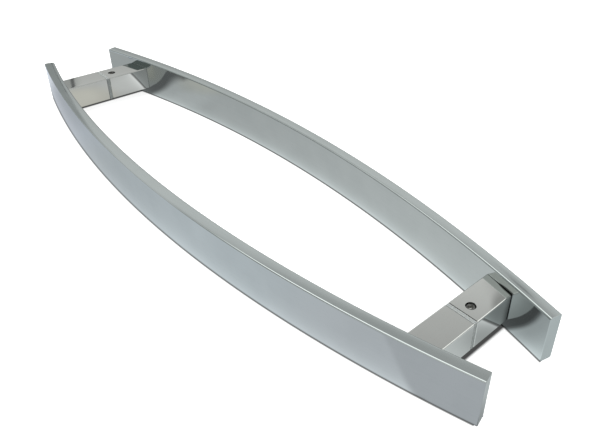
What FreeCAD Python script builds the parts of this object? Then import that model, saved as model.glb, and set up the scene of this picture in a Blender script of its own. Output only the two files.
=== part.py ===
import FreeCAD, Part
import math
import os

# Back-to-back pair of bowed flat-bar door pulls, joined through square posts.
# Millimetres. X runs along the bars, Y across from the front bar (-Y) to the
# back bar (+Y), Z up. Origin: middle of the pair, level with the edges it
# rests on.

V = FreeCAD.Vector

# ---- bars -----------------------------------------------------------------
BAR_ARC_LEN = 600.0        # length of the strip, along its inner face
BAR_R = 1169.0             # radius of the bow, inner face
BAR_Y0 = 69.5              # inner face from the mid plane, at the middle
BAR_T = 10.0               # strip thickness
BAR_H = 40.0               # strip height (its width before bending)
BAR_EDGE_R = 1.5           # rounding of the long edges
BAR_END_R = 0.3            # around the square-cut ends

# ---- posts ----------------------------------------------------------------
POST_X = 250.0             # fixing centres are 500 apart
POST_W = 25.0              # along X
POST_H = 24.0              # along Z
POST_EDGE_R = 1.0          # long edges
POST_BAR_CHAMFER = 0.5     # around the end that meets the bar
POST_DOOR_CHAMFER = 0.5    # around the end that meets the door pad
AXIS_Z = BAR_H / 2.0       # post axis

# ---- door pads at the seam -------------------------------------------------
PAD_T = 1.5                # thickness of each pad
PAD_INSET = 0.1            # pad edge behind the post faces
PAD_CORNER_R = 1.0
PAD_HOLE_R = 6.3

# ---- post screws (M6 x 16 socket cap) ---------------------------------------
CAP_SEAT_Y = 32.0          # head seat in the post, from the mid plane
CAP_SHANK_R = 2.95
CAP_SHANK_L = 16.0
CAP_HEAD_R = 5.0
CAP_HEAD_H = 6.0
CAP_SOCKET_AF = 5.0
CAP_SOCKET_D = 3.0
CAP_CLEAR_R = 3.3          # clearance hole in the post
BAR_TAP_R = 3.0            # tapped hole in the bar
BAR_TAP_END_Y = 48.5       # full depth of the tapped hole
BAR_TAP_TIP = 1.7          # drill point beyond it

# ---- fixing studs (12 diameter) ----------------------------------------------
STUD_R = 5.95
STUD_FRONT_Y = -19.5
STUD_BACK_Y = 20.5
STUD_END_CHAMFER = 1.0
STUD_TAP_R = 6.0           # tapped mouth of the front post
STUD_TAP_END_Y = 20.0
STUD_CORE_R = 5.3          # core drill below the tapped mouth
STUD_SLIDE_R = 6.1         # slip bore of the back post
STUD_SLOT_W = 2.0          # driver slot in the stud's back end
STUD_SLOT_D = 2.5

# ---- grub screws (M8 x 6 socket set screw) ------------------------------------
GRUB_Y = 10.2
GRUB_R = 3.7
GRUB_HOLE_R = 3.75
GRUB_HOLE_CHAMFER = 0.3
GRUB_TOP_Z = 31.2
GRUB_TIP_Z = 24.95
GRUB_TIP_R = 2.75
GRUB_TIP_CONE = 0.95
GRUB_SOCKET_AF = 4.0
GRUB_SOCKET_D = 3.0
GRUB_RIM_CHAMFER = 0.5
GROOVE_R = 4.9             # floor of the groove in the stud
GROOVE_HALF = 2.9          # half width of that floor

YC = BAR_Y0 - BAR_R        # centre of the bow, for the back bar
POST_Z0 = AXIS_Z - POST_H / 2.0
POST_Z1 = AXIS_Z + POST_H / 2.0


def on_bow(radius, theta, z=0.0):
    return V(radius * math.sin(theta), YC + radius * math.cos(theta), z)


def cyl_y(x, z, r, y0, y1):
    return Part.makeCylinder(r, y1 - y0, V(x, y0, z), V(0, 1, 0))


def hexagon_prism(af, base, direction, depth):
    # prism of a regular hexagon, af across the flats
    r = af / math.sqrt(3.0)
    d = V(direction).normalize()
    a = V(1, 0, 0)
    b = d.cross(a)
    pts = []
    for i in range(7):
        t = math.radians(60.0 * i)
        pts.append(base + a * (r * math.cos(t)) + b * (r * math.sin(t)))
    return Part.Face(Part.makePolygon(pts)).extrude(d * depth)


def make_back_bar():
    half = BAR_ARC_LEN / 2.0 / BAR_R
    r_in, r_out = BAR_R, BAR_R + BAR_T
    e1 = Part.Arc(on_bow(r_in, -half), on_bow(r_in, 0), on_bow(r_in, half)).toShape()
    e2 = Part.LineSegment(on_bow(r_in, half), on_bow(r_out, half)).toShape()
    e3 = Part.Arc(on_bow(r_out, half), on_bow(r_out, 0), on_bow(r_out, -half)).toShape()
    e4 = Part.LineSegment(on_bow(r_out, -half), on_bow(r_in, -half)).toShape()
    strip = Part.Face(Part.Wire([e1, e2, e3, e4])).extrude(V(0, 0, BAR_H))
    # the four long edges
    longs = [e for e in strip.Edges if e.Length > 100.0]
    strip = strip.makeFillet(BAR_EDGE_R, longs)
    # the two ends, cut square
    ends = sorted(strip.Faces, key=lambda f: abs(f.CenterOfMass.x))[-2:]
    rims = []
    for f in ends:
        rims.extend(f.Edges)
    strip = strip.makeFillet(BAR_END_R, rims)
    # blind tapped holes for the post screws
    for sx in (-1, 1):
        x = sx * POST_X
        hole = cyl_y(x, AXIS_Z, BAR_TAP_R, 25.0, BAR_TAP_END_Y)
        tip = Part.makeCone(BAR_TAP_R, 0.0, BAR_TAP_TIP,
                            V(x, BAR_TAP_END_Y, AXIS_Z), V(0, 1, 0))
        strip = strip.cut(hole.fuse(tip))
    return strip


def make_post(sx, back):
    # a post of the back bar; the front ones are turned over afterwards
    x0 = sx * POST_X - POST_W / 2.0
    block = Part.makeBox(POST_W, 80.0, POST_H, V(x0, PAD_T, POST_Z0))
    long_edges = [e for e in block.Edges
                  if abs(e.Vertexes[0].Point.y - e.Vertexes[-1].Point.y) > 1.0]
    block = block.makeFillet(POST_EDGE_R, long_edges)
    # the bar end is cut to the bow of the bar
    bow = Part.makeCylinder(BAR_R, 3.0 * BAR_H, V(0, YC, -BAR_H), V(0, 0, 1))
    block = block.common(bow)
    bar_end = max(block.Faces, key=lambda f: f.CenterOfMass.y)
    block = block.makeChamfer(POST_BAR_CHAMFER, bar_end.Edges)
    door_end = min(block.Faces, key=lambda f: f.CenterOfMass.y)
    block = block.makeChamfer(POST_DOOR_CHAMFER, door_end.Edges)
    x = sx * POST_X
    block = block.cut(cyl_y(x, AXIS_Z, CAP_CLEAR_R, PAD_T - 1.0, 80.0))
    if back:
        block = block.cut(cyl_y(x, AXIS_Z, STUD_SLIDE_R, PAD_T - 1.0, CAP_SEAT_Y))
        hole = Part.makeCylinder(GRUB_HOLE_R, POST_H / 2.0 + 1.0,
                                 V(x, GRUB_Y, AXIS_Z), V(0, 0, 1))
        mouth = Part.makeCone(GRUB_HOLE_R, GRUB_HOLE_R + GRUB_HOLE_CHAMFER,
                              GRUB_HOLE_CHAMFER,
                              V(x, GRUB_Y, POST_Z1 - GRUB_HOLE_CHAMFER), V(0, 0, 1))
        block = block.cut(hole.fuse(mouth))
    else:
        block = block.cut(cyl_y(x, AXIS_Z, STUD_TAP_R, PAD_T - 1.0, STUD_TAP_END_Y))
        block = block.cut(cyl_y(x, AXIS_Z, STUD_CORE_R, PAD_T - 1.0, CAP_SEAT_Y))
    return block


def make_pad(sx):
    # pad on the back side of the seam
    w, h = POST_W - 2 * PAD_INSET, POST_H - 2 * PAD_INSET
    pad = Part.makeBox(w, PAD_T, h, V(sx * POST_X - w / 2.0, 0, AXIS_Z - h / 2.0))
    along_y = [e for e in pad.Edges
               if abs(e.Vertexes[0].Point.y - e.Vertexes[-1].Point.y) > 1.0]
    pad = pad.makeFillet(PAD_CORNER_R, along_y)
    return pad.cut(cyl_y(sx * POST_X, AXIS_Z, PAD_HOLE_R, -1.0, PAD_T + 1.0))


def make_post_screw(sx):
    # head towards the door, shank into the back bar
    x = sx * POST_X
    head = cyl_y(x, AXIS_Z, CAP_HEAD_R, CAP_SEAT_Y - CAP_HEAD_H, CAP_SEAT_Y)
    rim = [e for e in head.Edges if abs(e.BoundBox.YMax - (CAP_SEAT_Y - CAP_HEAD_H)) < 1e-6]
    head = head.makeFillet(0.5, rim)
    shank = cyl_y(x, AXIS_Z, CAP_SHANK_R, CAP_SEAT_Y, CAP_SEAT_Y + CAP_SHANK_L)
    tip = [e for e in shank.Edges if abs(e.BoundBox.YMin - (CAP_SEAT_Y + CAP_SHANK_L)) < 1e-6]
    shank = shank.makeChamfer(0.6, tip)
    socket = hexagon_prism(CAP_SOCKET_AF, V(x, CAP_SEAT_Y - CAP_HEAD_H, AXIS_Z),
                           V(0, 1, 0), CAP_SOCKET_D)
    return head.fuse(shank).removeSplitter().cut(socket)


def make_stud(sx):
    # turned in one piece: profile in the (radius, y) half plane, spun about Y
    x = sx * POST_X
    c = STUD_END_CHAMFER
    flank = STUD_R - GROOVE_R
    prof = [(0, STUD_FRONT_Y), (STUD_R - c, STUD_FRONT_Y), (STUD_R, STUD_FRONT_Y + c),
            (STUD_R, GRUB_Y - GROOVE_HALF - flank), (GROOVE_R, GRUB_Y - GROOVE_HALF),
            (GROOVE_R, GRUB_Y + GROOVE_HALF), (STUD_R, GRUB_Y + GROOVE_HALF + flank),
            (STUD_R, STUD_BACK_Y - c), (STUD_R - c, STUD_BACK_Y), (0, STUD_BACK_Y)]
    pts = [V(x + r, y, AXIS_Z) for r, y in prof]
    face = Part.Face(Part.makePolygon(pts + [pts[0]]))
    stud = face.revolve(V(x, 0, AXIS_Z), V(0, 1, 0), 360)
    slot = Part.makeBox(STUD_SLOT_W, STUD_SLOT_D + 1.0, 4 * STUD_R,
                        V(x - STUD_SLOT_W / 2.0, STUD_BACK_Y - STUD_SLOT_D, AXIS_Z - 2 * STUD_R))
    return stud.cut(slot)


def make_grub(sx):
    x = sx * POST_X
    body_z0 = GRUB_TIP_Z + GRUB_TIP_CONE
    tip = Part.makeCone(GRUB_TIP_R, GRUB_R, GRUB_TIP_CONE, V(x, GRUB_Y, GRUB_TIP_Z), V(0, 0, 1))
    body = Part.makeCylinder(GRUB_R, GRUB_TOP_Z - body_z0, V(x, GRUB_Y, body_z0), V(0, 0, 1))
    rim = [e for e in body.Edges if abs(e.BoundBox.ZMin - GRUB_TOP_Z) < 1e-6]
    body = body.makeChamfer(GRUB_RIM_CHAMFER, rim)
    socket = hexagon_prism(GRUB_SOCKET_AF, V(x, GRUB_Y, GRUB_TOP_Z), V(0, 0, -1), GRUB_SOCKET_D)
    return body.fuse(tip).removeSplitter().cut(socket)


def to_front(shape):
    # the front handle is the back one mirrored through the mid plane
    return shape.mirror(V(0, 0, 0), V(0, 1, 0))


SIDES = (("left", -1), ("right", 1))
pieces = {}
back_bar = make_back_bar()
pieces["back_bar"] = back_bar
pieces["front_bar"] = to_front(back_bar)
for side, sx in SIDES:
    pieces["back_post_" + side] = make_post(sx, True)
    pieces["front_post_" + side] = to_front(make_post(sx, False))
    pieces["back_washer_" + side] = make_pad(sx)
    pieces["front_washer_" + side] = to_front(make_pad(sx))
    pieces["fixing_stud_" + side] = make_stud(sx)
    pieces["grub_screw_" + side] = make_grub(sx)
    pieces["post_screw_back_" + side] = make_post_screw(sx)
    pieces["post_screw_front_" + side] = to_front(make_post_screw(sx))

os.makedirs("parts", exist_ok=True)
for name in sorted(pieces):
    shape = pieces[name]
    if len(shape.Solids) != 1 or not shape.isValid():
        raise RuntimeError("%s: %d solids, valid %s" % (name, len(shape.Solids), shape.isValid()))
    solid = shape.Solids[0]
    solid.exportStep("parts/%s.step" % name)
    b = solid.BoundBox
    print("%-24s vol %10.1f  x %8.2f..%8.2f  y %7.2f..%7.2f  z %6.2f..%6.2f"
          % (name, solid.Volume, b.XMin, b.XMax, b.YMin, b.YMax, b.ZMin, b.ZMax))
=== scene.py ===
import math

import bpy
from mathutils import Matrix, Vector


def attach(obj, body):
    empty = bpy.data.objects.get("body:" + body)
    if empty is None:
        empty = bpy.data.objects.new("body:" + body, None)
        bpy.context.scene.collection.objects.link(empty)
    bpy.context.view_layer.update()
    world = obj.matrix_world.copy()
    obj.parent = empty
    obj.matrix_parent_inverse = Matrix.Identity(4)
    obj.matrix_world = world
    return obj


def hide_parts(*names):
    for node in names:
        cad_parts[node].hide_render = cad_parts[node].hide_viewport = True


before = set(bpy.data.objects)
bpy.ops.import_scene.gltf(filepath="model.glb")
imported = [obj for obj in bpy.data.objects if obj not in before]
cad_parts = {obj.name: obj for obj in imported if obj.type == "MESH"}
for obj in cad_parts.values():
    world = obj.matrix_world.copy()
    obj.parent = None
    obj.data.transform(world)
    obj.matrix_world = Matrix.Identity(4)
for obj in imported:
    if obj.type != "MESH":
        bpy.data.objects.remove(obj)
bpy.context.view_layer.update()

MM = 0.001

# ---------------------------------------------------------------- sizes (mm)
BAR_ARC = 600.0        # length of a bar along its inner face
BAR_R = 1169.0         # radius of the bow, at the inner face
BAR_Y0 = 69.5          # inner face at the middle of the handle
BAR_T = 10.0
BAR_H = 40.0
BAR_EDGE_R = 1.5
BAR_END_CHAMFER = 0.3
LEAN_TOP, LEAN_MIDDLE, LEAN_FOOT = (-13.0, -9.5), 1.0, 2.0        # degrees, beside the left and the right posts
BAR_CROWN = 2.5        # degrees: the narrow edges are very slightly rounded across
POST_X = 250.0
POST_W = 25.0
POST_Z0, POST_Z1 = 8.0, 32.0
POST_EDGE_R = 1.0
POST_DOOR_CHAMFER = 0.5
PAD_T = 1.5
PAD_INSET = 0.1
AXIS_Z = 20.0
GRUB_Y = 10.2
GRUB_HOLE_R = 3.75


# ---------------------------------------------------------------- mesh helper
class Shape:
    """Points and faces in mm. Each face corner may carry its own normal, and its place on the surface:
    u runs along the piece and v across it, in metres, so that polishing lines follow the piece."""

    def __init__(self):
        self.co, self.faces, self.nor, self.uv, self.mat = [], [], [], [], []

    def point(self, p):
        self.co.append((p[0] * MM, p[1] * MM, p[2] * MM))
        return len(self.co) - 1

    def face(self, ids, uv=None, nor=None, mat=0):
        self.faces.append(tuple(ids))
        self.uv.append(uv or [(0.0, 0.0)] * len(ids))
        self.nor.append(nor)
        self.mat.append(mat)

    def volume(self):
        total = 0.0
        for f in self.faces:
            a = Vector(self.co[f[0]])
            for i in range(1, len(f) - 1):
                total += a.dot(Vector(self.co[f[i]]).cross(Vector(self.co[f[i + 1]])))
        return total / 6.0

    def make(self, name, materials, sharp=None):
        if self.volume() < 0:
            self.faces = [tuple(reversed(f)) for f in self.faces]
            self.uv = [list(reversed(t)) for t in self.uv]
            self.nor = [n and list(reversed(n)) for n in self.nor]
        me = bpy.data.meshes.new(name)
        me.from_pydata(self.co, [], self.faces)
        layer = me.uv_layers.new(name="flow")
        layer.data.foreach_set("uv", [c for t in self.uv for p in t for c in p])
        for m in materials:
            me.materials.append(m)
        me.polygons.foreach_set("material_index", self.mat)
        me.polygons.foreach_set("use_smooth", [True] * len(me.polygons))
        me.update()
        if all(self.nor):
            me.normals_split_custom_set([tuple(Vector(n).normalized()) for t in self.nor for n in t])
        ob = bpy.data.objects.new(name, me)
        bpy.context.scene.collection.objects.link(ob)
        if sharp is not None:
            soften(ob, sharp)
        return ob


def soften(ob, degrees):
    """Smooth shading that keeps flat faces flat and leaves edges over this angle sharp."""
    ob.data.polygons.foreach_set("use_smooth", [True] * len(ob.data.polygons))
    ob.data.set_sharp_from_angle(angle=math.radians(degrees))
    m = ob.modifiers.new("flats", "WEIGHTED_NORMAL")
    m.mode = "FACE_AREA"
    m.weight = 90
    m.keep_sharp = True


def outline(half, z0, z1, r, n_corner, n_edge, inset=0.0):
    """The upper half of a rounded rectangle, from right to left: (a, z, normal a, normal z)."""
    zc, ac, q = z1 - r, half - r, r - inset
    pts = []
    for k in range(n_corner + 1):
        t = math.pi / 2 * k / n_corner
        pts.append((ac + q * math.cos(t), zc + q * math.sin(t), math.cos(t), math.sin(t)))
    for k in range(1, n_edge):
        pts.append((ac * (1 - 2 * k / n_edge), zc + q, 0.0, 1.0))
    for k in range(n_corner + 1):
        t = math.pi / 2 * (1 + k / n_corner)
        pts.append((-ac + q * math.cos(t), zc + q * math.sin(t), math.cos(t), math.sin(t)))
    return pts


def closed(half_pts, z0, z1):
    """The whole loop: the upper half, then the lower half from left to right."""
    return half_pts + [(a, z0 + z1 - z, na, -nz) for a, z, na, nz in reversed(half_pts)]


# ---------------------------------------------------------------- materials
def tree(name):
    m = bpy.data.materials.new(name)
    m.use_nodes = True
    nt = m.node_tree
    return m, nt, nt.nodes["Principled BSDF"]


def add(nt, kind, **values):
    n = nt.nodes.new(kind)
    for k, v in values.items():
        if k in n.inputs:
            n.inputs[k].default_value = v
        else:
            setattr(n, k, v)
    return n


def noise(nt, vector, scale, detail, rough=0.5):
    n = add(nt, "ShaderNodeTexNoise", Scale=scale, Detail=detail, Roughness=rough)
    nt.links.new(vector, n.inputs["Vector"])
    return n.outputs["Fac"]


def spread(nt, value, lo, hi, to_lo, to_hi, smooth=True):
    n = add(nt, "ShaderNodeMapRange", interpolation_type="SMOOTHSTEP" if smooth else "LINEAR")
    n.inputs["From Min"].default_value = lo
    n.inputs["From Max"].default_value = hi
    n.inputs["To Min"].default_value = to_lo
    n.inputs["To Max"].default_value = to_hi
    nt.links.new(value, n.inputs["Value"])
    return n.outputs["Result"]


def math_node(nt, op, a, b=None):
    n = add(nt, "ShaderNodeMath", operation=op)
    for i, x in enumerate((a, b)):
        if x is None:
            continue
        if isinstance(x, (int, float)):
            n.inputs[i].default_value = x
        else:
            nt.links.new(x, n.inputs[i])
    return n.outputs[0]


def stretched(nt, source, su, sv):
    n = add(nt, "ShaderNodeMapping")
    n.inputs["Scale"].default_value = (su, sv, 1.0)
    nt.links.new(source, n.inputs["Vector"])
    return n.outputs["Vector"]


def polished(name, light, dark, rough_lo, rough_hi, line_depth, wave_depth, painted_wedge_shade=False):
    """Polished aluminium: fine lines along the piece, faint wiping marks and a slight unevenness of the polish."""
    m, nt, p = tree(name)
    p.inputs["Metallic"].default_value = 1.0
    p.inputs["Specular Tint"].default_value = (0.66, 0.66, 0.66, 1.0)
    flow = add(nt, "ShaderNodeUVMap", uv_map="flow").outputs["UV"]
    place = add(nt, "ShaderNodeTexCoord").outputs["Object"]
    fine = noise(nt, stretched(nt, flow, 14.0, 3800.0), 1.0, 3.0, 0.6)      # polishing lines, about 0.25 mm
    band = noise(nt, stretched(nt, flow, 3.0, 420.0), 1.0, 2.0)              # draw lines, a few mm
    cloud = noise(nt, place, 34.0, 4.0, 0.55)                                # wiping marks, about 30 mm
    speck = noise(nt, place, 900.0, 2.0)                                     # fine grain
    # colour: between two near greys
    mix = add(nt, "ShaderNodeMix", data_type="RGBA")
    mix.inputs[6].default_value = (*dark, 1.0)
    mix.inputs[7].default_value = (*light, 1.0)
    tone = math_node(nt, "ADD", math_node(nt, "MULTIPLY", cloud, 0.78), math_node(nt, "MULTIPLY", band, 0.22))
    nt.links.new(spread(nt, tone, 0.36, 0.62, 0.0, 1.0), mix.inputs[0])
    colour = mix.outputs[2]
    if painted_wedge_shade:
        # painted shade: a dark wedge on the right posts' upper side, right at the bar, where the joint's shadow and
        # dark reflection fall
        xyz = add(nt, "ShaderNodeSeparateXYZ")
        nt.links.new(place, xyz.inputs[0])
        ax, ay = math_node(nt, "ABSOLUTE", xyz.outputs["X"]), math_node(nt, "ABSOLUTE", xyz.outputs["Y"])
        yy = math_node(nt, "ADD", ay, (BAR_R - BAR_Y0) * MM)
        off = math_node(nt, "SUBTRACT", BAR_R * MM, math_node(nt, "SQRT", math_node(
            nt, "ADD", math_node(nt, "MULTIPLY", ax, ax), math_node(nt, "MULTIPLY", yy, yy))))
        wide = spread(nt, ax, 0.2440, 0.2560, 0.0002, 0.0017)
        near = spread(nt, math_node(nt, "DIVIDE", off, wide), 0.55, 1.25, 1.0, 0.0)
        along = spread(nt, ax, 0.2430, 0.2520, 0.0, 0.92)
        level = math_node(nt, "MULTIPLY", math_node(nt, "GREATER_THAN", xyz.outputs["Z"], (POST_Z1 - 0.3) * MM),
                          math_node(nt, "GREATER_THAN", xyz.outputs["X"], 0.0))
        wedge_shade_mix = add(nt, "ShaderNodeMix", data_type="RGBA")
        nt.links.new(math_node(nt, "MULTIPLY", math_node(nt, "MULTIPLY", near, along), level), wedge_shade_mix.inputs[0])
        nt.links.new(colour, wedge_shade_mix.inputs[6])
        wedge_shade_mix.inputs[7].default_value = (0.03, 0.03, 0.028, 1.0)
        colour = wedge_shade_mix.outputs[2]
    nt.links.new(colour, p.inputs["Base Color"])
    # gloss
    worn = math_node(nt, "ADD", math_node(nt, "MULTIPLY", cloud, 0.6),
                     math_node(nt, "ADD", math_node(nt, "MULTIPLY", fine, 0.3), math_node(nt, "MULTIPLY", speck, 0.1)))
    nt.links.new(spread(nt, worn, 0.36, 0.64, rough_lo, rough_hi), p.inputs["Roughness"])
    # relief
    low = add(nt, "ShaderNodeBump", Strength=1.0, Distance=wave_depth)
    nt.links.new(noise(nt, place, 11.0, 1.0), low.inputs["Height"])
    lines = add(nt, "ShaderNodeBump", Strength=1.0, Distance=line_depth)
    nt.links.new(fine, lines.inputs["Height"])
    nt.links.new(low.outputs["Normal"], lines.inputs["Normal"])
    nt.links.new(lines.outputs["Normal"], p.inputs["Normal"])
    return m


def milky(name):
    """Moulded, slightly see-through plastic of the pads."""
    m, nt, p = tree(name)
    place = add(nt, "ShaderNodeTexCoord").outputs["Object"]
    cloud = noise(nt, place, 260.0, 3.0)
    grain = noise(nt, place, 2600.0, 2.0)
    mix = add(nt, "ShaderNodeMix", data_type="RGBA")
    mix.inputs[6].default_value = (0.305, 0.33, 0.325, 1.0)
    mix.inputs[7].default_value = (0.37, 0.395, 0.39, 1.0)
    nt.links.new(spread(nt, cloud, 0.35, 0.65, 0.0, 1.0), mix.inputs[0])
    # painted light: the upper and lower faces are paler than the sides
    facing = add(nt, "ShaderNodeSeparateXYZ")
    nt.links.new(add(nt, "ShaderNodeNewGeometry").outputs["Normal"], facing.inputs[0])
    painted_light_top_bottom = add(nt, "ShaderNodeMix", data_type="RGBA")
    nt.links.new(spread(nt, math_node(nt, "ABSOLUTE", facing.outputs["Z"]), 0.4, 0.8, 0.0, 1.0), painted_light_top_bottom.inputs[0])
    nt.links.new(mix.outputs[2], painted_light_top_bottom.inputs[6])
    painted_light_top_bottom.inputs[7].default_value = (0.47, 0.495, 0.495, 1.0)
    nt.links.new(painted_light_top_bottom.outputs[2], p.inputs["Base Color"])
    nt.links.new(spread(nt, grain, 0.3, 0.7, 0.38, 0.52), p.inputs["Roughness"])
    p.inputs["Subsurface Weight"].default_value = 0.35
    p.inputs["Subsurface Radius"].default_value = (0.0012, 0.0012, 0.0014)
    p.inputs["Subsurface Scale"].default_value = 1.0
    bump = add(nt, "ShaderNodeBump", Strength=1.0, Distance=4e-6)
    nt.links.new(grain, bump.inputs["Height"])
    nt.links.new(bump.outputs["Normal"], p.inputs["Normal"])
    return m


def steel(name, light, dark, rough_lo, rough_hi):
    """Plated screw steel: grain and a duller tone in patches."""
    m, nt, p = tree(name)
    p.inputs["Metallic"].default_value = 1.0
    place = add(nt, "ShaderNodeTexCoord").outputs["Object"]
    cloud = noise(nt, place, 420.0, 4.0)
    grain = noise(nt, place, 5200.0, 2.0)
    mix = add(nt, "ShaderNodeMix", data_type="RGBA")
    mix.inputs[6].default_value = (*dark, 1.0)
    mix.inputs[7].default_value = (*light, 1.0)
    nt.links.new(spread(nt, cloud, 0.35, 0.65, 0.0, 1.0), mix.inputs[0])
    nt.links.new(mix.outputs[2], p.inputs["Base Color"])
    nt.links.new(spread(nt, grain, 0.3, 0.7, rough_lo, rough_hi), p.inputs["Roughness"])
    bump = add(nt, "ShaderNodeBump", Strength=1.0, Distance=3e-6)
    nt.links.new(grain, bump.inputs["Height"])
    nt.links.new(bump.outputs["Normal"], p.inputs["Normal"])
    return m


bar_metal = polished("bar_polished", (0.465, 0.499, 0.499), (0.447, 0.481, 0.481), 0.05, 0.11, 0.3e-6, 6.0e-5)
post_metal = polished("post_polished", (0.578, 0.588, 0.573), (0.566, 0.575, 0.561), 0.02, 0.05, 0.12e-6, 3.0e-5, painted_wedge_shade=True)
pad_plastic = milky("pad_milky")
plated = steel("screw_plated", (0.52, 0.52, 0.50), (0.40, 0.40, 0.39), 0.28, 0.42)
blackened = steel("grub_dark", (0.20, 0.20, 0.195), (0.10, 0.10, 0.10), 0.22, 0.38)


# ---------------------------------------------------------------- bars
def make_bar(name, side):
    """A rounded strip section swept along the bow. side is 1 for the back bar and -1 for the front bar."""
    n_along, nf = 300, 7
    half = BAR_ARC / 2
    crown = math.radians(BAR_CROWN)
    big = (BAR_T / 2 - BAR_EDGE_R + BAR_EDGE_R * math.sin(crown)) / math.sin(crown)
    sunk = big * (1 - math.cos(crown)) + BAR_EDGE_R * math.cos(crown)
    # section: (distance from the inner face, depth below the narrow edge, normal)
    quarter = []
    for k in range(nf + 1):
        t = crown + (math.pi / 2 - crown) * (1 - k / nf)
        quarter.append((BAR_EDGE_R * (1 - math.sin(t)), sunk - BAR_EDGE_R * math.cos(t), -math.sin(t), math.cos(t)))
    for k in range(1, 4):
        t = crown * (1 - k / 4)
        quarter.append((BAR_T / 2 - big * math.sin(t), big * (1 - math.cos(t)), -math.sin(t), math.cos(t)))
    over = quarter + [(BAR_T / 2, 0.0, 0.0, 1.0)] + [(BAR_T - c, d, -nc, nz) for c, d, nc, nz in reversed(quarter)]
    section = [(c, BAR_H - d, nc, nz) for c, d, nc, nz in over] + [(c, d, nc, -nz) for c, d, nc, nz in reversed(over)]
    section += [(0.0, z, -1.0, 0.0) for z in (7.0, 12.0, 16.0, 20.0, 24.0, 28.0, 31.0, 34.0, 36.5)]
    m, h = len(section), len(over)
    walked = [0.0]
    for (c0, z0, _, _), (c1, z1, _, _) in zip(section, section[1:] + section[:1]):
        walked.append(walked[-1] + math.hypot(c1 - c0, z1 - z0))
    sh = Shape()

    def ring_at(s, inset):
        th = s / BAR_R
        row = []
        for c, z, nc, nz in section:
            rho = BAR_R + c - inset * nc
            row.append(sh.point((rho * math.sin(th), side * (BAR_Y0 - BAR_R + rho * math.cos(th)), z - inset * nz)))
        return row

    def turned(s, nc, nz, along=0.0):
        th = s / BAR_R
        return (nc * math.sin(th) + along * math.cos(th), side * (nc * math.cos(th) - along * math.sin(th)), nz)

    def hollow(s, b):
        """Normal of the inner face: beside the posts, where it was pulled up, its upper part leans in a little."""
        off = abs(abs(s) - POST_X)
        by_post = min(1.0, max(0.0, (off - 17.0) / 8.0)) * min(1.0, max(0.0, (72.0 - off) / 30.0))
        up = section[b][1] / (BAR_H - sunk)
        bend = max(0.0, (up - 0.3) / 0.7) ** 1.6
        lean = LEAN_FOOT + (LEAN_MIDDLE - LEAN_FOOT) * min(1.0, up / 0.3) + (LEAN_TOP[s > 0] - LEAN_MIDDLE) * bend
        t = math.radians(lean) * by_post
        return turned(s, -math.cos(t), math.sin(t))

    flat = half - BAR_END_CHAMFER
    stations = [flat * (2 * i / n_along - 1) for i in range(n_along + 1)]
    rows = [ring_at(s, 0.0) for s in stations]
    for i in range(n_along):
        for j in range(m):
            k = (j + 1) % m
            q = [(i, j), (i, k), (i + 1, k), (i + 1, j)]
            sh.face([rows[a][b] for a, b in q],
                    [(stations[a] * MM, walked[j + 1 if b == k else j] * MM) for a, b in q],
                    [hollow(stations[a], b) if j >= 2 * h - 1 else turned(stations[a], *section[b][2:]) for a, b in q])
    for end, row in ((-1, rows[0]), (1, rows[-1])):
        cap = ring_at(end * half, BAR_END_CHAMFER)
        for j in range(m):
            k = (j + 1) % m
            ids = [row[j], row[k], cap[k], cap[j]]
            uv = [(end * (half - t) * MM, walked[w] * MM) for t, w in ((0.3, j), (0.3, j + 1), (0.0, j + 1), (0.0, j))]
            nor = [turned(end * half, *section[b][2:], along=end) for b in (j, k, k, j)]
            if end < 0:
                ids.reverse(); uv.reverse(); nor.reverse()
            sh.face(ids, uv, nor)
        for j in range(h - 1):
            q = [j, j + 1, 2 * h - 2 - j, 2 * h - 1 - j] + (list(range(2 * h, m)) if j == 0 else [])
            if end < 0:
                q.reverse()
            sh.face([cap[b] for b in q], [(section[b][1] * MM + 0.5, section[b][0] * MM) for b in q],
                    [turned(end * half, 0.0, 0.0, along=end)] * len(q))
    return sh.make(name, [bar_metal])


# ---------------------------------------------------------------- posts
def round_cutter(name, axis, centre, profile, n=96):
    """A closed turned solid: profile is [(distance along the axis, radius)]."""
    sh = Shape()
    rows = []
    for d, r in profile:
        row = []
        for k in range(n):
            t = 2 * math.pi * k / n
            a, b = r * math.cos(t), r * math.sin(t)
            p = list(centre)
            if axis == "y":
                p[0] += a; p[1] += d; p[2] += b
            else:
                p[0] += a; p[1] += b; p[2] += d
            row.append(sh.point(p))
        rows.append(row)
    for r0, r1 in zip(rows, rows[1:]):
        for k in range(n):
            j = (k + 1) % n
            sh.face([r0[k], r0[j], r1[j], r1[k]])
    sh.face(list(reversed(rows[0])))
    sh.face(rows[-1])
    return sh.make(name, [])


def inner_face(x):
    return math.sqrt(BAR_R * BAR_R - x * x) + BAR_Y0 - BAR_R


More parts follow.
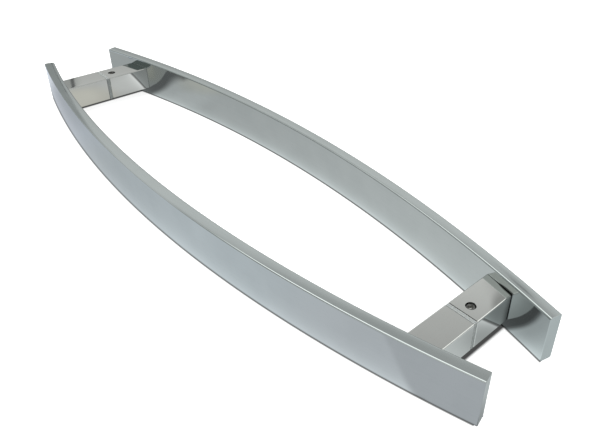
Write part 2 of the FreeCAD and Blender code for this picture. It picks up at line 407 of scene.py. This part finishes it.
def make_post(name, end, side):
    """end is -1 for the left pair and 1 for the right pair, side is 1 behind the door line and -1 before it."""
    xc = end * POST_X
    nc, ne, nf = 8, 6, 4
    bar_r = 0.45
    sh = Shape()
    rows, rowuv = [(POST_DOOR_CHAMFER, 0, 0.0), (0.0, 0, POST_DOOR_CHAMFER)], []
    for k in range(nf + 1):
        t = math.pi / 2 * (1 - k / nf)
        rows.append((bar_r * (1 - math.sin(t)), 1, bar_r * (1 - math.cos(t))))
    ids, uvs = [], []
    for inset, where, c in rows:
        row, uv = [], []
        around = 0.0
        last = None
        for a, z, na, nz in closed(outline(POST_W / 2, POST_Z0, POST_Z1, POST_EDGE_R, nc, ne, inset), POST_Z0, POST_Z1):
            x = xc + a
            # the end is cut a trace too steep: it touches the bar on the middle's side and stands off a little outside
            gap = 0.03 + 0.42 * (0.5 + end * a / POST_W)
            y = PAD_T + c if where == 0 else inner_face(x) - gap - c
            row.append(sh.point((x, side * y, z)))
            if last:
                around += math.hypot(a - last[0], z - last[1])
            last = (a, z)
            uv.append((y * MM, around * MM))
        ids.append(row); uvs.append(uv)
    m = len(ids[0])
    h = m // 2
    for i in range(len(rows) - 1):
        for j in range(m):
            k = (j + 1) % m
            q = [(i, j), (i, k), (i + 1, k), (i + 1, j)]
            t = [uvs[a][b] for a, b in q]
            if k == 0:
                t[1] = (t[1][0], t[0][1] + 0.022)
                t[2] = (t[2][0], t[3][1] + 0.022)
            sh.face([ids[a][b] for a, b in q], t)
    for i in (0, len(rows) - 1):
        for j in range(h - 1):
            q = [j, j + 1, m - 2 - j, m - 1 - j]
            if i == 0:
                q.reverse()
            sh.face([ids[i][b] for b in q], [(sh.co[ids[i][b]][0] + 0.3, sh.co[ids[i][b]][2]) for b in q])
    ob = sh.make(name, [post_metal])
    # bores: the stud's bore from the door end, the post screw's hole, and on the back posts the grub screw's hole
    bore = 6.1 if side > 0 else 6.0
    cuts = [round_cutter(name + "_bore", "y", (xc, 0, AXIS_Z),
                         [(side * 0.5, bore), (side * 32.0, bore), (side * 32.0, 3.3), (side * 60.0, 3.3)])]
    if side > 0:
        cuts.append(round_cutter(name + "_hole", "z", (xc, GRUB_Y, 0),
                                 [(AXIS_Z, GRUB_HOLE_R), (POST_Z1 - 0.12, GRUB_HOLE_R), (POST_Z1, GRUB_HOLE_R + 0.12),
                                  (POST_Z1 + 2.0, GRUB_HOLE_R + 2.12)]))
    for c in cuts:
        b = ob.modifiers.new("cut", "BOOLEAN")
        b.operation = "DIFFERENCE"
        b.solver = "EXACT"
        b.object = c
    dg = bpy.context.evaluated_depsgraph_get()
    me = bpy.data.meshes.new_from_object(ob.evaluated_get(dg), preserve_all_data_layers=True, depsgraph=dg)
    ob.modifiers.clear()
    old, ob.data = ob.data, me
    bpy.data.meshes.remove(old)
    me.name = name
    for c in cuts:
        data = c.data
        bpy.data.objects.remove(c)
        bpy.data.meshes.remove(data)
    me.materials.clear()
    me.materials.append(post_metal)
    me.polygons.foreach_set("material_index", [0] * len(me.polygons))
    soften(ob, 40)
    return ob


# ---------------------------------------------------------------- pads
def make_pad(name, end, side):
    xc = end * POST_X
    half, z0, z1 = POST_W / 2 - PAD_INSET, POST_Z0 + PAD_INSET, POST_Z1 - PAD_INSET
    nc, ne, nf, r, er, hole = 8, 16, 3, 1.0, 0.22, 6.3
    sh = Shape()
    rows = []
    for k in range(nf + 1):
        t = math.pi / 2 * k / nf
        rows.append((er * (1 - math.sin(t)), 0.0 + er * (1 - math.cos(t))))
    for k in range(nf + 1):
        t = math.pi / 2 * (1 - k / nf)
        rows.append((er * (1 - math.sin(t)), PAD_T - er * (1 - math.cos(t))))
    ids, angles = [], None
    for inset, c in rows:
        pts = closed(outline(half, z0, z1, r, nc, ne, inset), z0, z1)
        if angles is None:
            angles = [math.atan2(z - AXIS_Z, a) for a, z, _, _ in pts]
        ids.append([sh.point((xc + a, side * c, z)) for a, z, _, _ in pts])
    ids.append([sh.point((xc + hole * math.cos(t), side * PAD_T, AXIS_Z + hole * math.sin(t))) for t in angles])
    ids.append([sh.point((xc + hole * math.cos(t), 0.0, AXIS_Z + hole * math.sin(t))) for t in angles])
    m = len(ids[0])
    for r0, r1 in zip(ids, ids[1:] + ids[:1]):
        for j in range(m):
            k = (j + 1) % m
            sh.face([r0[j], r0[k], r1[k], r1[j]])
    return sh.make(name, [pad_plastic], sharp=40)


# ---------------------------------------------------------------- screws
def threaded(sh, to_world, d0, d1, r_out, pitch, depth, n=72, per_pitch=8, lead=0.6):
    """Rings of a screw thread from d0 to d1, faded out at both ends. Gives the rows of points."""
    steps = max(2, int(round((d1 - d0) / pitch * per_pitch)))
    rows = []
    for i in range(steps + 1):
        d = d0 + (d1 - d0) * i / steps
        fade = min(1.0, (d - d0) / (lead * pitch), (d1 - d) / (lead * pitch))
        row = []
        for k in range(n):
            t = 2 * math.pi * k / n
            ph = ((d - d0) / pitch - k / n) % 1.0
            tooth = min(1.0, max(0.0, 1.35 * (1 - abs(2 * ph - 1)) - 0.12))
            r = r_out - depth + depth * tooth * max(0.0, fade)
            row.append(sh.point(to_world(r * math.cos(t), r * math.sin(t), d)))
        rows.append(row)
    return rows


def skin(sh, rows, mat=0):
    for r0, r1 in zip(rows, rows[1:]):
        n = len(r0)
        for k in range(n):
            j = (k + 1) % n
            sh.face([r0[k], r0[j], r1[j], r1[k]], mat=mat)


def ring(sh, to_world, r, d, n=72):
    return [sh.point(to_world(r * math.cos(2 * math.pi * k / n), r * math.sin(2 * math.pi * k / n), d)) for k in range(n)]


def hexagon(sh, to_world, across, d, n=72, turn=0.0):
    row = []
    for k in range(n):
        t = 2 * math.pi * k / n
        q = (t - turn + math.pi / 6) % (math.pi / 3) - math.pi / 6
        r = across / 2 / math.cos(q)
        row.append(sh.point(to_world(r * math.cos(t), r * math.sin(t), d)))
    return row


def make_grub(name, end):
    xc = end * POST_X
    sh = Shape()

    def at(a, b, d):
        return (xc + a, GRUB_Y + b, d)

    turn = math.radians(18 if end > 0 else 41)
    rows = [ring(sh, at, 1.2, 24.95), ring(sh, at, 2.4, 25.0), ring(sh, at, 3.08, 25.65)]
    rows += threaded(sh, at, 25.7, 30.65, 3.7, 1.25, 0.6)
    rows += [ring(sh, at, 3.08, 30.72), ring(sh, at, 3.02, 30.95), ring(sh, at, 2.86, 31.13), ring(sh, at, 2.66, 31.2),
             hexagon(sh, at, 4.24, 31.2, turn=turn), hexagon(sh, at, 4.0, 31.05, turn=turn), hexagon(sh, at, 4.0, 28.2, turn=turn),
             ring(sh, at, 1.55, 27.95), ring(sh, at, 0.12, 27.35)]
    skin(sh, rows[:-3])
    skin(sh, rows[-4:], mat=1)
    sh.face(list(reversed(rows[0])))
    sh.face(rows[-1], mat=1)
    return sh.make(name, [blackened, plated], sharp=32)


def make_stud(name, end):
    """Threaded half in the front post, plain half with the groove in the back post."""
    xc = end * POST_X
    sh = Shape()

    def at(a, b, d):
        return (xc + a, d, AXIS_Z + b)

    rows = [ring(sh, at, 1.0, -19.5), ring(sh, at, 4.5, -19.5), ring(sh, at, 5.0, -19.0)]
    rows += threaded(sh, at, -18.9, -1.0, 5.95, 1.75, 0.9)
    rows += [ring(sh, at, 5.05, -0.9), ring(sh, at, 5.05, 0.2), ring(sh, at, 5.95, 1.1), ring(sh, at, 5.95, 7.3), ring(sh, at, 4.9, 8.35),
             ring(sh, at, 4.9, 12.05), ring(sh, at, 5.95, 13.1), ring(sh, at, 5.95, 19.7), ring(sh, at, 5.2, 20.5),
             ring(sh, at, 1.0, 20.5)]
    skin(sh, rows)
    sh.face(list(reversed(rows[0])))
    sh.face(rows[-1])
    return sh.make(name, [plated], sharp=32)


def make_cap_screw(name, end, side):
    """Socket head screw that draws a post onto its bar: the head sits in the post's bore."""
    xc = end * POST_X
    seat = 32.0
    sh = Shape()

    def at(a, b, d):
        return (xc + a, side * d, AXIS_Z + b)

    rows = [ring(sh, at, 0.4, seat + 16.0), ring(sh, at, 2.1, seat + 16.0), ring(sh, at, 2.45, seat + 15.6)]
    rows += list(reversed(threaded(sh, at, seat + 1.2, seat + 15.5, 3.0, 1.0, 0.5)))
    rows += [ring(sh, at, 2.95, seat + 1.0), ring(sh, at, 3.0, seat + 0.35), ring(sh, at, 3.3, seat), ring(sh, at, 4.8, seat),
             ring(sh, at, 5.0, seat - 0.25), ring(sh, at, 5.0, seat - 5.3), ring(sh, at, 4.75, seat - 5.8), ring(sh, at, 4.4, seat - 6.0),
             hexagon(sh, at, 5.3, seat - 6.0), hexagon(sh, at, 5.0, seat - 5.8), hexagon(sh, at, 5.0, seat - 3.0),
             ring(sh, at, 1.9, seat - 2.7), ring(sh, at, 0.15, seat - 2.0)]
    skin(sh, rows)
    sh.face(list(reversed(rows[0])))
    sh.face(rows[-1])
    return sh.make(name, [plated], sharp=32)


def place(ob, node, slot):
    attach(ob, "root")
    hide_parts(node)


for word, side in (("back", 1), ("front", -1)):
    place(make_bar("looks_" + word + "_bar", side), word + "_bar", "polished_aluminium")
    for hand, end in (("left", -1), ("right", 1)):
        place(make_post("looks_%s_post_%s" % (word, hand), end, side), "%s_post_%s" % (word, hand), "polished_aluminium")
        place(make_pad("looks_%s_washer_%s" % (word, hand), end, side), "%s_washer_%s" % (word, hand), "pad_plastic")
        place(make_cap_screw("looks_post_screw_%s_%s" % (word, hand), end, side), "post_screw_%s_%s" % (word, hand), "fastener_steel")
for hand, end in (("left", -1), ("right", 1)):
    place(make_stud("looks_fixing_stud_" + hand, end), "fixing_stud_" + hand, "fastener_steel")
    place(make_grub("looks_grub_screw_" + hand, end), "grub_screw_" + hand, "grub_steel")


# ---------------------------------------------------------------- camera
def camera():
    az, el, roll = (math.radians(v) for v in (43.153, 33.5605, 3.0644))
    back = Vector((math.sin(az) * math.cos(el), -math.cos(az) * math.cos(el), math.sin(el)))
    r = Vector((math.cos(az), math.sin(az), 0.0))
    u = back.cross(r)
    right = math.cos(roll) * r + math.sin(roll) * u
    up = -math.sin(roll) * r + math.cos(roll) * u
    pos = Vector((0.080995, 0.091947, 0.0)) + back * 0.592397
    cam = bpy.data.cameras.new("camera")
    cam.sensor_fit = "HORIZONTAL"
    cam.sensor_width = 36.0
    cam.lens = 646.809 * 36.0 / 600.0
    cam.shift_x = (300.0 - 375.0) / 600.0
    cam.shift_y = (194.6 - 217.0) / 600.0
    cam.clip_start, cam.clip_end = 0.01, 50.0
    ob = bpy.data.objects.new("camera", cam)
    m = ob.matrix_world.copy()
    for i in range(3):
        m[i][0], m[i][1], m[i][2], m[i][3] = right[i], up[i], back[i], pos[i]
    ob.matrix_world = m
    bpy.context.scene.collection.objects.link(ob)
    bpy.context.scene.camera = ob


camera()


# ---------------------------------------------------------------- stage
def sheet(name, half, z, material, n=1):
    me = bpy.data.meshes.new(name)
    pts = [((2 * i / n - 1) * half, (2 * j / n - 1) * half, z) for j in range(n + 1) for i in range(n + 1)]
    fs = [(j * (n + 1) + i, j * (n + 1) + i + 1, (j + 1) * (n + 1) + i + 1, (j + 1) * (n + 1) + i) for j in range(n) for i in range(n)]
    me.from_pydata(pts, [], fs)
    me.materials.append(material)
    me.update()
    ob = bpy.data.objects.new(name, me)
    bpy.context.scene.collection.objects.link(ob)
    return ob


def white_floor():
    """The white sheet the handle lies on, bright from its own glow and the light, with painted shade under the posts
    and a painted dark line of shade right at the bars' feet."""
    m, nt, p = tree("floor_white")
    nt.nodes.remove(p)
    xyz = add(nt, "ShaderNodeSeparateXYZ")
    nt.links.new(add(nt, "ShaderNodeTexCoord").outputs["Object"], xyz.inputs[0])
    x, y = xyz.outputs["X"], xyz.outputs["Y"]
    inside = spread(nt, math_node(nt, "ABSOLUTE", y), 0.046, 0.048, 1.0, 0.0)
    # painted shade under the posts
    painted_shade_keep = 1.0
    for lo, hi in ((0.2365, 0.2618), (-0.2635, -0.2510)):
        across = math_node(nt, "MULTIPLY", spread(nt, x, lo - 0.002, lo + 0.001, 0.0, 1.0), spread(nt, x, hi - 0.0015, hi + 0.001, 1.0, 0.0))
        one = math_node(nt, "SUBTRACT", 1.0, math_node(nt, "MULTIPLY", math_node(nt, "MULTIPLY", across, inside), 0.93))
        painted_shade_keep = one if painted_shade_keep == 1.0 else math_node(nt, "MULTIPLY", painted_shade_keep, one)
    # a painted dark line of shade right at the bars' feet
    for centre, r0, r1 in (((BAR_R - BAR_Y0) * MM, BAR_R * MM, (BAR_R + BAR_T) * MM), ((BAR_Y0 - BAR_R) * MM, BAR_R * MM, (BAR_R + BAR_T) * MM)):
        dy = math_node(nt, "SUBTRACT", y, centre)
        r = math_node(nt, "SQRT", math_node(nt, "ADD", math_node(nt, "MULTIPLY", x, x), math_node(nt, "MULTIPLY", dy, dy)))
        off = math_node(nt, "SUBTRACT", math_node(nt, "ABSOLUTE", math_node(nt, "SUBTRACT", r, (r0 + r1) / 2)), (r1 - r0) / 2)
        on = math_node(nt, "LESS_THAN", math_node(nt, "ABSOLUTE", x), 0.297)
        foot = math_node(nt, "MULTIPLY", spread(nt, off, -0.0006, 0.0008, 0.85, 0.0), on)
        painted_shade_keep = math_node(nt, "MULTIPLY", painted_shade_keep, math_node(nt, "SUBTRACT", 1.0, foot))
    glow = add(nt, "ShaderNodeEmission", Color=(1.0, 1.0, 1.0, 1.0))
    nt.links.new(math_node(nt, "MULTIPLY", painted_shade_keep, 0.75), glow.inputs["Strength"])
    lit = add(nt, "ShaderNodeBsdfDiffuse")
    nt.links.new(math_node(nt, "MULTIPLY", painted_shade_keep, 0.8), lit.inputs["Color"])
    both = add(nt, "ShaderNodeAddShader")
    nt.links.new(glow.outputs[0], both.inputs[0])
    nt.links.new(lit.outputs[0], both.inputs[1])
    nt.links.new(both.outputs[0], nt.nodes["Material Output"].inputs["Surface"])
    m.cycles.emission_sampling = "NONE"
    return m


def painted_reflection_floor():
    """A glowing sheet that only the metal's reflections see, painted light and shade standing in for the lit table:
    pale, cooler before the handle, painted light along the bars' feet and to the right, painted shade under the posts."""
    m, nt, p = tree("floor_painted_reflection")
    nt.nodes.remove(p)
    m.cycles.emission_sampling = "NONE"
    xyz = add(nt, "ShaderNodeSeparateXYZ")
    nt.links.new(add(nt, "ShaderNodeTexCoord").outputs["Object"], xyz.inputs[0])
    x, y = xyz.outputs["X"], xyz.outputs["Y"]

    def mul(*values):
        out = values[0]
        for v in values[1:]:
            out = math_node(nt, "MULTIPLY", out, v)
        return out

    def reach(centre):
        dy = math_node(nt, "SUBTRACT", y, centre)
        return math_node(nt, "SQRT", math_node(nt, "ADD", mul(x, x), mul(dy, dy)))

    def foot(d, amount):
        fall = math_node(nt, "EXPONENT", mul(d, -1.0 / GLOW_REACH))
        return mul(fall, math_node(nt, "GREATER_THAN", d, 0.0), amount)

    def blob(cx, cy, inner, outer):
        dx, dy = math_node(nt, "SUBTRACT", x, cx), math_node(nt, "SUBTRACT", y, cy)
        r = math_node(nt, "SQRT", math_node(nt, "ADD", mul(dx, dx), mul(dy, dy)))
        return spread(nt, r, inner, outer, 1.0, 0.0)

    c = (BAR_R - BAR_Y0) * MM
    before_front = math_node(nt, "SUBTRACT", reach(c), (BAR_R + BAR_T) * MM)
    before_back = math_node(nt, "SUBTRACT", BAR_R * MM, reach(-c))
    beyond = math_node(nt, "ADD", y, math_node(nt, "ADD", mul(x, 0.348), 0.154))
    near_side = math_node(nt, "SUBTRACT", 1.0, mul(spread(nt, x, -0.316, -0.300, 1.0, 0.0), spread(nt, beyond, 0.006, 0.014, 0.0, 1.0)))
    front = mul(spread(nt, before_front, -0.004, 0.0, 0.0, 1.0), near_side)
    # the light on the sheet
    middle = spread(nt, x, -0.21, 0.21, *MIDDLE_LIGHT, smooth=False)
    ramp = add(nt, "ShaderNodeValToRGB")
    nt.links.new(spread(nt, x, -0.32, 0.32, 0.0, 1.0, smooth=False), ramp.inputs["Fac"])
    cr = ramp.color_ramp
    while len(cr.elements) < len(FRONT_LIGHT):
        cr.elements.new(0.5)
    for e, (at, val) in zip(cr.elements, FRONT_LIGHT):
        e.position = (at + 0.32) / 0.64
        e.color = (val, val, val, 1.0)
    edge = math_node(nt, "SUBTRACT", x, math_node(nt, "ADD", mul(y, 0.86), 0.3005))
    shade = spread(nt, edge, -0.0025, 0.0035, 1.0, FRONT_SHADE)
    before = mul(ramp.outputs["Color"], shade)
    # painted shade under and beside the posts
    aside = math_node(nt, "ABSOLUTE", y)
    inside = spread(nt, aside, 0.046, 0.053, 1.0, 0.0)
    painted_shade_keep = 1.0
    for xc, l_out, l_in, r_in, r_out, deep in ((-POST_X * MM, -0.0135, -0.0085, 0.0085, 0.0230, 0.74), (POST_X * MM, -0.0165, -0.0108, 0.0112, 0.0172, 0.885)):
        dx = math_node(nt, "SUBTRACT", x, xc)
        under = mul(spread(nt, dx, l_out, l_in, 0.0, 1.0), spread(nt, dx, r_in, r_out, 1.0, 0.0))
        one = math_node(nt, "SUBTRACT", 1.0, mul(under, inside, deep))
        painted_shade_keep = one if painted_shade_keep == 1.0 else mul(painted_shade_keep, one)
    # painted shade to the right of the right posts
    right = mul(spread(nt, x, 0.262, 0.263, 0.0, 1.0), spread(nt, x, 0.268, 0.292, 0.36, 0.0), inside, spread(nt, y, -0.008, 0.022, 0.0, 1.0))
    painted_shade_keep = mul(painted_shade_keep, math_node(nt, "SUBTRACT", 1.0, right))
    # shade before the front bar's right end
    corner = mul(spread(nt, x, 0.290, 0.296, 0.0, 1.0), spread(nt, x, 0.312, 0.322, 1.0, 0.0), spread(nt, y, -0.034, -0.012, 0.34, 0.0),
                 spread(nt, before_front, -0.006, 0.0, 1.0, 0.0))
    painted_shade_keep = mul(painted_shade_keep, math_node(nt, "SUBTRACT", 1.0, corner))
    # painted light along the bars' feet, standing in for light the bars throw back, and a painted dark line of shade
    # right at their feet
    painted_foot_glow = math_node(nt, "ADD",
                       foot(before_front, mul(spread(nt, x, -0.25, 0.02, 0.12, GLOW_FRONT), spread(nt, edge, -0.004, 0.006, 1.0, 0.0), near_side)),
                       foot(before_back, spread(nt, x, -0.2, 0.1, *GLOW_BACK)))
    line = mul(spread(nt, math_node(nt, "ABSOLUTE", before_front), 0.0002, 0.0022, 0.3, 1.0),
               spread(nt, math_node(nt, "ABSOLUTE", before_back), 0.0002, 0.0022, 0.3, 1.0))
    # painted light: lighter far left, and two lighter, warmer patches beside the left posts
    far = mul(spread(nt, x, -0.372, -0.306, 0.35, 0.0), spread(nt, beyond, 0.002, 0.006, 1.0, 0.0))
    middle = math_node(nt, "ADD", middle, mul(blob(-0.2, -0.02, 0.01, 0.04), 0.10))
    middle = math_node(nt, "ADD", middle, mul(blob(-0.195, 0.036, 0.008, 0.034), 0.09))
    before = math_node(nt, "ADD", before, far)

    def tinted(value, tint):
        n = add(nt, "ShaderNodeVectorMath", operation="SCALE")
        n.inputs[0].default_value = tint
        nt.links.new(value, n.inputs["Scale"])
        return n.outputs["Vector"]

    warm = blob(-0.205, -0.02, 0.02, 0.05)
    mid_tint = add(nt, "ShaderNodeMix", data_type="RGBA")
    nt.links.new(warm, mid_tint.inputs[0])
    nt.links.new(tinted(middle, MIDDLE_TINT), mid_tint.inputs[6])
    nt.links.new(tinted(middle, WARM_TINT), mid_tint.inputs[7])
    cool = add(nt, "ShaderNodeMix", data_type="RGBA")
    nt.links.new(spread(nt, x, 0.24, 0.265, 0.0, 1.0), cool.inputs[0])
    nt.links.new(mid_tint.outputs[2], cool.inputs[6])
    nt.links.new(tinted(middle, COOL_TINT), cool.inputs[7])
    both = add(nt, "ShaderNodeMix", data_type="RGBA")
    nt.links.new(front, both.inputs[0])
    nt.links.new(cool.outputs[2], both.inputs[6])
    ahead = add(nt, "ShaderNodeMix", data_type="RGBA")
    nt.links.new(spread(nt, x, 0.08, 0.20, 0.0, 1.0), ahead.inputs[0])
    left = add(nt, "ShaderNodeMix", data_type="RGBA")
    nt.links.new(spread(nt, x, -0.21, -0.13, 0.0, 1.0), left.inputs[0])
    nt.links.new(tinted(before, FRONT_TINT_LEFT), left.inputs[6])
    nt.links.new(tinted(before, FRONT_TINT), left.inputs[7])
    nt.links.new(left.outputs[2], ahead.inputs[6])
    nt.links.new(tinted(before, FRONT_TINT_RIGHT), ahead.inputs[7])
    nt.links.new(ahead.outputs[2], both.inputs[7])
    total = add(nt, "ShaderNodeVectorMath", operation="ADD")
    nt.links.new(both.outputs[2], total.inputs[0])
    nt.links.new(tinted(painted_foot_glow, (0.96, 1.0, 1.02)), total.inputs[1])
    shaded = add(nt, "ShaderNodeVectorMath", operation="SCALE")
    nt.links.new(total.outputs["Vector"], shaded.inputs[0])
    nt.links.new(mul(painted_shade_keep, line), shaded.inputs["Scale"])
    glow = add(nt, "ShaderNodeEmission")
    nt.links.new(shaded.outputs["Vector"], glow.inputs["Color"])
    nt.links.new(glow.outputs[0], nt.nodes["Material Output"].inputs["Surface"])
    return m


# painted light, shade and tints of the glowing sheet seen in the metal's reflections
MIDDLE_LIGHT = (0.690, 0.915)
MIDDLE_TINT = (0.982, 1.003, 1.0)
WARM_TINT = (1.01, 1.0, 0.92)
COOL_TINT = (0.94, 1.0, 1.01)
FRONT_LIGHT = [(-0.30, 0.77), (-0.255, 0.84), (-0.20, 0.99), (-0.11, 0.965), (-0.02, 0.975), (0.025, 1.0), (0.075, 0.94), (0.16, 0.895), (0.24, 0.87)]
FRONT_TINT_LEFT = (0.945, 1.0, 1.090)
FRONT_TINT = (0.950, 1.0, 1.050)
FRONT_TINT_RIGHT = (0.945, 0.962, 1.010)
FRONT_SHADE = 0.88
GLOW_FRONT, GLOW_BACK, GLOW_REACH = 0.46, (0.50, 0.60), 0.0055
seen = sheet("floor", 6.0, -0.0001, white_floor())
seen.visible_diffuse = seen.visible_glossy = seen.visible_transmission = seen.visible_shadow = False
# a glowing sheet with painted light and shade, seen only in the metal's reflections
lit = sheet("floor_light", 6.0, 0.0, painted_reflection_floor())
lit.visible_camera = lit.visible_diffuse = lit.visible_transmission = lit.visible_shadow = False


def surroundings():
    w = bpy.data.worlds.new("room")
    bpy.context.scene.world = w
    w.use_nodes = True
    nt = w.node_tree
    bg = nt.nodes["Background"]
    way = add(nt, "ShaderNodeTexCoord").outputs["Generated"]
    xyz = add(nt, "ShaderNodeSeparateXYZ")
    nt.links.new(way, xyz.inputs[0])
    ramp = add(nt, "ShaderNodeValToRGB")
    nt.links.new(xyz.outputs["Z"], ramp.inputs["Fac"])
    cr = ramp.color_ramp
    cr.interpolation = "EASE"
    stops = [(0.0, 0.62), (0.30, 0.70), (0.36, 0.765), (0.42, 0.90), (0.50, 0.95), (0.56, 0.95), (0.60, 0.90), (0.645, 0.81),
             (0.695, 0.66), (0.73, 0.60), (0.81, 0.57), (1.0, 0.57)]
    while len(cr.elements) < len(stops):
        cr.elements.new(0.5)
    for e, (pos, val) in zip(cr.elements, stops):
        e.position = pos
        e.color = (val * 0.985, val, val * 0.985, 1.0)
    colour = ramp.outputs["Color"]

    def patch(under, az, el, inner, outer, to, amount):
        """Blends towards a colour round one direction."""
        az, el = math.radians(az), math.radians(el)
        dot = add(nt, "ShaderNodeVectorMath", operation="DOT_PRODUCT")
        nt.links.new(way, dot.inputs[0])
        dot.inputs[1].default_value = (math.cos(az) * math.cos(el), math.sin(az) * math.cos(el), math.sin(el))
        mix = add(nt, "ShaderNodeMix", data_type="RGBA")
        nt.links.new(spread(nt, dot.outputs["Value"], math.cos(math.radians(outer)), math.cos(math.radians(inner)), 0.0, amount), mix.inputs[0])
        nt.links.new(under, mix.inputs[6])
        mix.inputs[7].default_value = (*to, 1.0)
        return mix.outputs[2]

    # a softbox overhead and one behind on the right; darker things in the room towards the camera and far left
    colour = patch(colour, 215.0, 68.0, 20.0, 26.0, (1.9, 1.93, 1.88), 1.0)
    colour = patch(colour, 78.0, 48.0, 13.0, 19.0, (1.7, 1.73, 1.68), 1.0)
    colour = patch(colour, 217.0, 40.0, 4.0, 9.0, (0.93, 0.95, 0.91), 1.0)
    colour = patch(colour, 229.0, 24.0, 7.0, 13.0, (0.27, 0.31, 0.295), 1.0)
    colour = patch(colour, 242.0, 38.0, 7.0, 13.0, (0.12, 0.12, 0.12), 1.0)
    colour = patch(colour, 175.0, 20.0, 13.2, 14.4, (0.54, 0.56, 0.55), 1.0)
    colour = patch(colour, 117.0, 39.3, 1.0, 3.0, (0.66, 0.67, 0.66), 0.8)
    colour = patch(colour, 117.2, 41.3, 0.6, 1.6, (0.42, 0.43, 0.42), 1.0)
    # a thin dark upright far left
    az = math.radians(160.68)
    side = add(nt, "ShaderNodeVectorMath", operation="DOT_PRODUCT")
    nt.links.new(way, side.inputs[0])
    side.inputs[1].default_value = (-math.sin(az), math.cos(az), 0.0)
    thin = spread(nt, math_node(nt, "ABSOLUTE", side.outputs["Value"]), 0.0016, 0.0032, 0.9, 0.0)
    below = spread(nt, xyz.outputs["Z"], 0.405, 0.415, 1.0, 0.0)
    left = math_node(nt, "LESS_THAN", xyz.outputs["X"], 0.0)
    mix = add(nt, "ShaderNodeMix", data_type="RGBA")
    nt.links.new(math_node(nt, "MULTIPLY", math_node(nt, "MULTIPLY", thin, below), left), mix.inputs[0])
    nt.links.new(colour, mix.inputs[6])
    mix.inputs[7].default_value = (0.12, 0.125, 0.13, 1.0)
    colour = mix.outputs[2]
    nt.links.new(colour, bg.inputs["Color"])
    bg.inputs["Strength"].default_value = 1.0


surroundings()
bpy.context.scene.view_settings.view_transform = "Standard"
bpy.context.scene.view_settings.look = "None"
